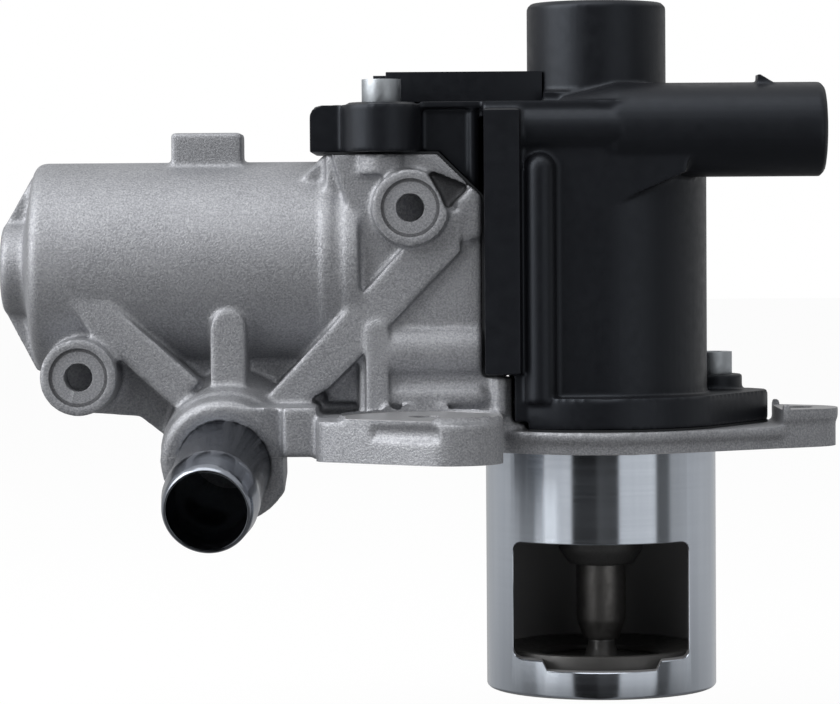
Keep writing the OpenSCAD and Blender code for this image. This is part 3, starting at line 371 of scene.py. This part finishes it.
def soften(obj, voxel, passes):
    """Remeshes in small quads, so that smoothing rounds every corner like a casting's."""
    remesh = obj.modifiers.new("remesh", "REMESH")
    remesh.mode = "VOXEL"
    remesh.voxel_size = voxel
    smooth = obj.modifiers.new("smooth", "SMOOTH")
    smooth.factor = 0.5
    smooth.iterations = passes
    apply_all(obj)


def thin_out(obj, faces_kept):
    triangles = sum(len(p.vertices) - 2 for p in obj.data.polygons)
    decimate = obj.modifiers.new("decimate", "DECIMATE")
    decimate.ratio = min(1.0, faces_kept / triangles)
    apply_all(obj)


def bevelled(node, name, width, segments=2):
    """The node with its sharp edges broken by a small bevel."""
    obj = merged_copy(node, name)
    bevel = obj.modifiers.new("bevel", "BEVEL")
    bevel.width = width
    bevel.segments = segments
    bevel.limit_method = "ANGLE"
    bevel.angle_limit = math.radians(35)
    bevel.harden_normals = False
    apply_all(obj)
    smooth_by_angle(obj, 35)
    finish_as(obj, node)
    return obj


def cylinder(centre, radius, depth, turn=(0, 0, 0), sides=96):
    deselect()
    bpy.ops.mesh.primitive_cylinder_add(vertices=sides, radius=radius, depth=depth, location=centre,
                                        rotation=turn)
    return bpy.context.object


def cut(obj, tool):
    """Takes the tool's shape out of the object, and the tool out of the scene."""
    trim = obj.modifiers.new("trim", "BOOLEAN")
    trim.operation = "DIFFERENCE"
    trim.solver = "MANIFOLD"
    trim.object = tool
    apply_all(obj)
    bpy.data.objects.remove(tool)


def lift_faces(obj, wanted, step):
    """Moves the vertices that fit by a step, which leaves stock for a milled face."""
    for vertex in obj.data.vertices:
        if wanted(vertex.co):
            vertex.co += Vector(step)


# Casting

def near(a, b, slack=0.01 * MM):
    return abs(a - b) < slack


def flat_distance(point, centre):
    return math.hypot(point.x - centre.x, point.y - centre.y)


def boss_drill(face):
    """A stepped drill for a front boss: wide recess, then the threaded hole."""
    length = 2 * MM
    middle = face + Vector((0, BOSS_RECESS_DEPTH - length / 2, 0))
    tool = cylinder(middle, BOSS_RECESS_R, length, (math.pi / 2, 0, 0))
    bpy.ops.object.transform_apply(location=True, rotation=True, scale=True)
    bpy.ops.object.mode_set(mode="EDIT")
    bpy.ops.mesh.select_all(action="DESELECT")
    mesh = bmesh.from_edit_mesh(tool.data)
    for side in mesh.faces:
        side.select_set(side.normal.y > 0.9)
    bmesh.update_edit_mesh(tool.data)
    bpy.ops.mesh.inset(thickness=BOSS_RECESS_R - BOSS_HOLE_R)
    deeper = (0, BOSS_HOLE_DEPTH - BOSS_RECESS_DEPTH, 0)
    bpy.ops.mesh.extrude_region_move(TRANSFORM_OT_translate={"value": deeper})
    bpy.ops.object.mode_set(mode="OBJECT")
    return tool


def flange_mill():
    """Takes the stock off the mounting face, clear of the tube and of the pipe's low block."""
    middle = (0, 0, -MILL_DEPTH / 2)
    clearance = MILL_DEPTH + 2 * MM
    tool = cylinder(middle, 150 * MM, MILL_DEPTH)
    cut(tool, cylinder(middle, TUBE_R + 0.3 * MM, clearance))
    width, breadth = 100 * MM, 400 * MM
    bpy.ops.mesh.primitive_cube_add(size=1, scale=(width, breadth, clearance),
                                    location=(PIPE_BLOCK_X - width / 2, 0, middle[2]))
    cut(tool, bpy.context.object)
    return tool


def pad_mill(hole, radius):
    """Takes the stock off the flat top round a bolt hole."""
    return cylinder(hole + Vector((0, 0, PAD_MILL_DEPTH / 2)), radius, PAD_MILL_DEPTH)


def housing_casting():
    obj = merged_copy("housing", "housing_casting")
    lift_faces(obj, lambda p: near(p.z, 0) and p.xy.length > TUBE_R + 0.2 * MM,
               (0, 0, -FLANGE_STOCK))
    lift_faces(obj, lambda p: near(p.z, LUG_HOLE.z) and flat_distance(p, LUG_HOLE) < LUG_DISC_R + MM,
               (0, 0, PAD_STOCK))
    lift_faces(obj, lambda p: near(p.z, EAR_HOLE.z) and p.x > EAR_START_X, (0, 0, PAD_STOCK))
    soften(obj, 0.6 * MM, 5)
    cut(obj, flange_mill())
    cut(obj, pad_mill(LUG_HOLE, LUG_DISC_R))
    cut(obj, pad_mill(EAR_HOLE, EAR_R + 3 * MM))
    for hole in (LUG_HOLE, EAR_HOLE):
        cut(obj, cylinder((hole.x, hole.y, hole.z / 2), BOLT_HOLE_R, hole.z + 2 * MM))
    for boss in BOSSES:
        cut(obj, boss_drill(boss))
    thin_out(obj, 190000)
    smooth_by_angle(obj, 40)
    finish_as(obj, "housing")


def cover_moulding():
    obj = merged_copy("cover", "cover_moulding")
    soften(obj, 0.5 * MM, 2)
    thin_out(obj, 190000)
    smooth_by_angle(obj, 40)
    finish_as(obj, "cover")


def valve_spring():
    """Return spring with one closed turn at each end and its ends ground flat."""
    bottom, top, coil, wire = 10.5 * MM, 29 * MM, 10.5 * MM, 0.9 * MM
    turns, drawn_pitch = 4.5, 5 * MM
    deselect()
    bpy.ops.mesh.primitive_circle_add(vertices=24, radius=wire, location=(coil, 0, 0),
                                      rotation=(math.pi / 2, 0, 0))
    spring = bpy.context.object
    spring.name = "valve_spring"
    bpy.ops.object.transform_apply(location=True, rotation=True, scale=True)
    screw = spring.modifiers.new("screw", "SCREW")
    screw.angle = turns * 2 * math.pi
    screw.screw_offset = turns * drawn_pitch
    screw.steps = screw.render_steps = int(turns * 60)
    apply_all(spring)
    # The wire lies against itself for the first and the last turn
    start = bottom + 0.25 * wire
    lift = 2 * wire
    free = (top - bottom - 0.5 * wire - 2 * lift) / (turns - 2)
    for vertex in spring.data.vertices:
        around = math.atan2(vertex.co.y, vertex.co.x) / (2 * math.pi)
        turn = around + round(vertex.co.z / drawn_pitch - around)
        closed_turns = min(turn, 1) + max(turn - turns + 1, 0)
        free_turns = min(max(turn - 1, 0), turns - 2)
        height = lift * closed_turns + free * free_turns
        vertex.co.z += start + height - turn * drawn_pitch
    bpy.ops.object.mode_set(mode="EDIT")
    bpy.ops.mesh.select_all(action="SELECT")
    bpy.ops.mesh.fill_holes(sides=0)
    bpy.ops.mesh.normals_make_consistent(inside=False)
    for level, way in ((bottom, -1), (top, 1)):
        bpy.ops.mesh.select_all(action="SELECT")
        bpy.ops.mesh.bisect(plane_co=(0, 0, level), plane_no=(0, 0, way),
                            use_fill=True, clear_outer=True)
    bpy.ops.object.mode_set(mode="OBJECT")
    smooth_by_angle(spring, 40)
    finish_as(spring, "return_spring")
    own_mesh(spring)


housing_casting()
cover_moulding()
valve_spring()
# One flat bevel keeps the window's edge out of the shading of the tube's round wall
bevelled("valve_tube", "valve_tube_piece", EDGE_BREAK, 1)
for node in ("seat_ring", "stem_guide", "valve", "coolant_pipe", "cover_screws",
             "compression_sleeves", "cover_lid"):
    bevelled(node, node + "_piece", EDGE_BREAK)


# Camera, floor and light

def look_from(place, pitch, roll):
    camera = bpy.data.cameras.new("camera")
    camera.lens = LENS_MM
    camera.sensor_width = SENSOR_MM
    camera.clip_start = 0.01
    obj = bpy.data.objects.new("camera", camera)
    bpy.context.scene.collection.objects.link(obj)
    obj.location = place
    turn = Euler((math.radians(90) - pitch, 0, 0)).to_matrix() @ Euler((0, 0, -roll)).to_matrix()
    obj.rotation_euler = turn.to_euler()
    bpy.context.scene.camera = obj


def softbox(name, place, aim, width, height, watts):
    light = bpy.data.lights.new(name, "AREA")
    light.shape = "RECTANGLE"
    light.size = width
    light.size_y = height
    light.energy = watts
    obj = bpy.data.objects.new(name, light)
    bpy.context.scene.collection.objects.link(obj)
    obj.location = place
    obj.rotation_euler = (Vector(aim) - Vector(place)).to_track_quat("-Z", "Y").to_euler()


def pale_floor():
    """White to the camera, and a mid grey that keeps bounced light low for everything else."""
    bpy.ops.mesh.primitive_plane_add(size=8, location=(0, 0, FLOOR_Z))
    floor = bpy.context.object
    floor.name = "floor"
    f = Finish("floor_white", (0.85, 0.85, 0.85), 0.0, 0.9)
    rays = f.add("LightPath").outputs
    f.feed("Base Color", f.mix_colors(rays["Is Camera Ray"], (0.52, 0.52, 0.52), (0.85, 0.85, 0.85)))
    glow = f.add("Emission", {"Strength": 1.0})
    seen = f.math("MULTIPLY", rays["Is Camera Ray"], 0.93)
    shown = f.add("MixShader", {0: seen, 1: f.shader.outputs[0], 2: glow.outputs[0]}).outputs[0]
    # In metal the floor gives way to the room, so that its panels reach down to the horizon
    clear = f.add("BsdfTransparent").outputs[0]
    surface = f.add("MixShader", {0: rays["Is Glossy Ray"], 1: shown, 2: clear}).outputs[0]
    f.tree.links.new(surface, f.tree.nodes["Material Output"].inputs["Surface"])
    floor.data.materials.append(f.material)


# Brightness of the room seen round the object at eye level, by the angle from the camera's side
# in degrees, from left to right: soft panels on both sides with dark gaps between them
ROOM = [(-180, 0.45), (-117, 0.6), (-94, 0.5), (-90, 0.36), (-74, 0.36), (-71, 0.85), (-33, 0.85),
        (-31, 0.02), (-8, 0.02), (-5, 0.07), (14, 0.05), (16, 0.88), (53, 0.88), (55, 0.12),
        (68, 0.15), (72, 0.45), (88, 0.5), (94, 0.58), (180, 0.5)]
CEILING = 0.8


def studio_world():
    """White to the camera; for everything else a room with soft panels and a bright ceiling."""
    world = bpy.data.worlds.new("studio")
    bpy.context.scene.world = world
    world.use_nodes = True
    tree = world.node_tree
    background = tree.nodes["Background"]

    def add(kind, inputs, **settings):
        node = tree.nodes.new("ShaderNode" + kind)
        for key, value in settings.items():
            setattr(node, key, value)
        for key, value in inputs.items():
            if isinstance(value, bpy.types.NodeSocket):
                tree.links.new(value, node.inputs[key])
            else:
                node.inputs[key].default_value = value
        return node

    rays = add("LightPath", {}).outputs
    way = add("SeparateXYZ", {0: add("TexCoord", {}).outputs["Generated"]}).outputs
    toward = add("Math", {0: way["Y"], 1: -1.0}, operation="MULTIPLY").outputs[0]
    angle = add("Math", {0: way["X"], 1: toward}, operation="ARCTAN2").outputs[0]
    turn = add("MapRange", {"Value": angle, "From Min": -math.pi, "From Max": math.pi}).outputs["Result"]
    panels = add("ValToRGB", {"Fac": turn})
    stops = panels.color_ramp.elements
    while len(stops) < len(ROOM):
        stops.new(0.5)
    for stop, (degrees, level) in zip(stops, ROOM):
        stop.position = (degrees + 180) / 360
        stop.color = (level, level, level, 1)
    # The panels fade below the object and above eye level; the ceiling starts over them
    low = add("MapRange", {"Value": way["Z"], "From Min": -0.45, "From Max": -0.2, "To Min": 0.3})
    high = add("MapRange", {"Value": way["Z"], "From Min": 0.1, "From Max": 0.25,
                            "To Min": 1, "To Max": 0.5})
    fade = add("Math", {0: low.outputs["Result"], 1: high.outputs["Result"]}, operation="MULTIPLY")
    faded = add("Math", {0: panels.outputs["Color"], 1: fade.outputs[0]}, operation="MULTIPLY")
    upward = add("MapRange", {"Value": way["Z"], "From Min": 0.25, "From Max": 0.6}).outputs["Result"]
    room = add("Mix", {"Factor": upward, 2: faded.outputs[0], 3: CEILING}).outputs[0]
    shown = add("Mix", {"Factor": rays["Is Camera Ray"], 2: room, 3: 1.0}).outputs[0]
    tree.links.new(shown, background.inputs["Strength"])
    background.inputs["Color"].default_value = (1, 1, 1, 1)


look_from(CAMERA_AT, CAMERA_PITCH, CAMERA_ROLL)
pale_floor()
studio_world()
softbox("top_box", (-0.15, -0.25, 0.75), (-0.04, 0, 0.02), 0.7, 0.5, 1.8)
softbox("left_box", (-0.78, -0.3, 0.45), (-0.05, 0, 0.02), 0.8, 0.8, 8)
bpy.context.scene.view_settings.view_transform = "Standard"
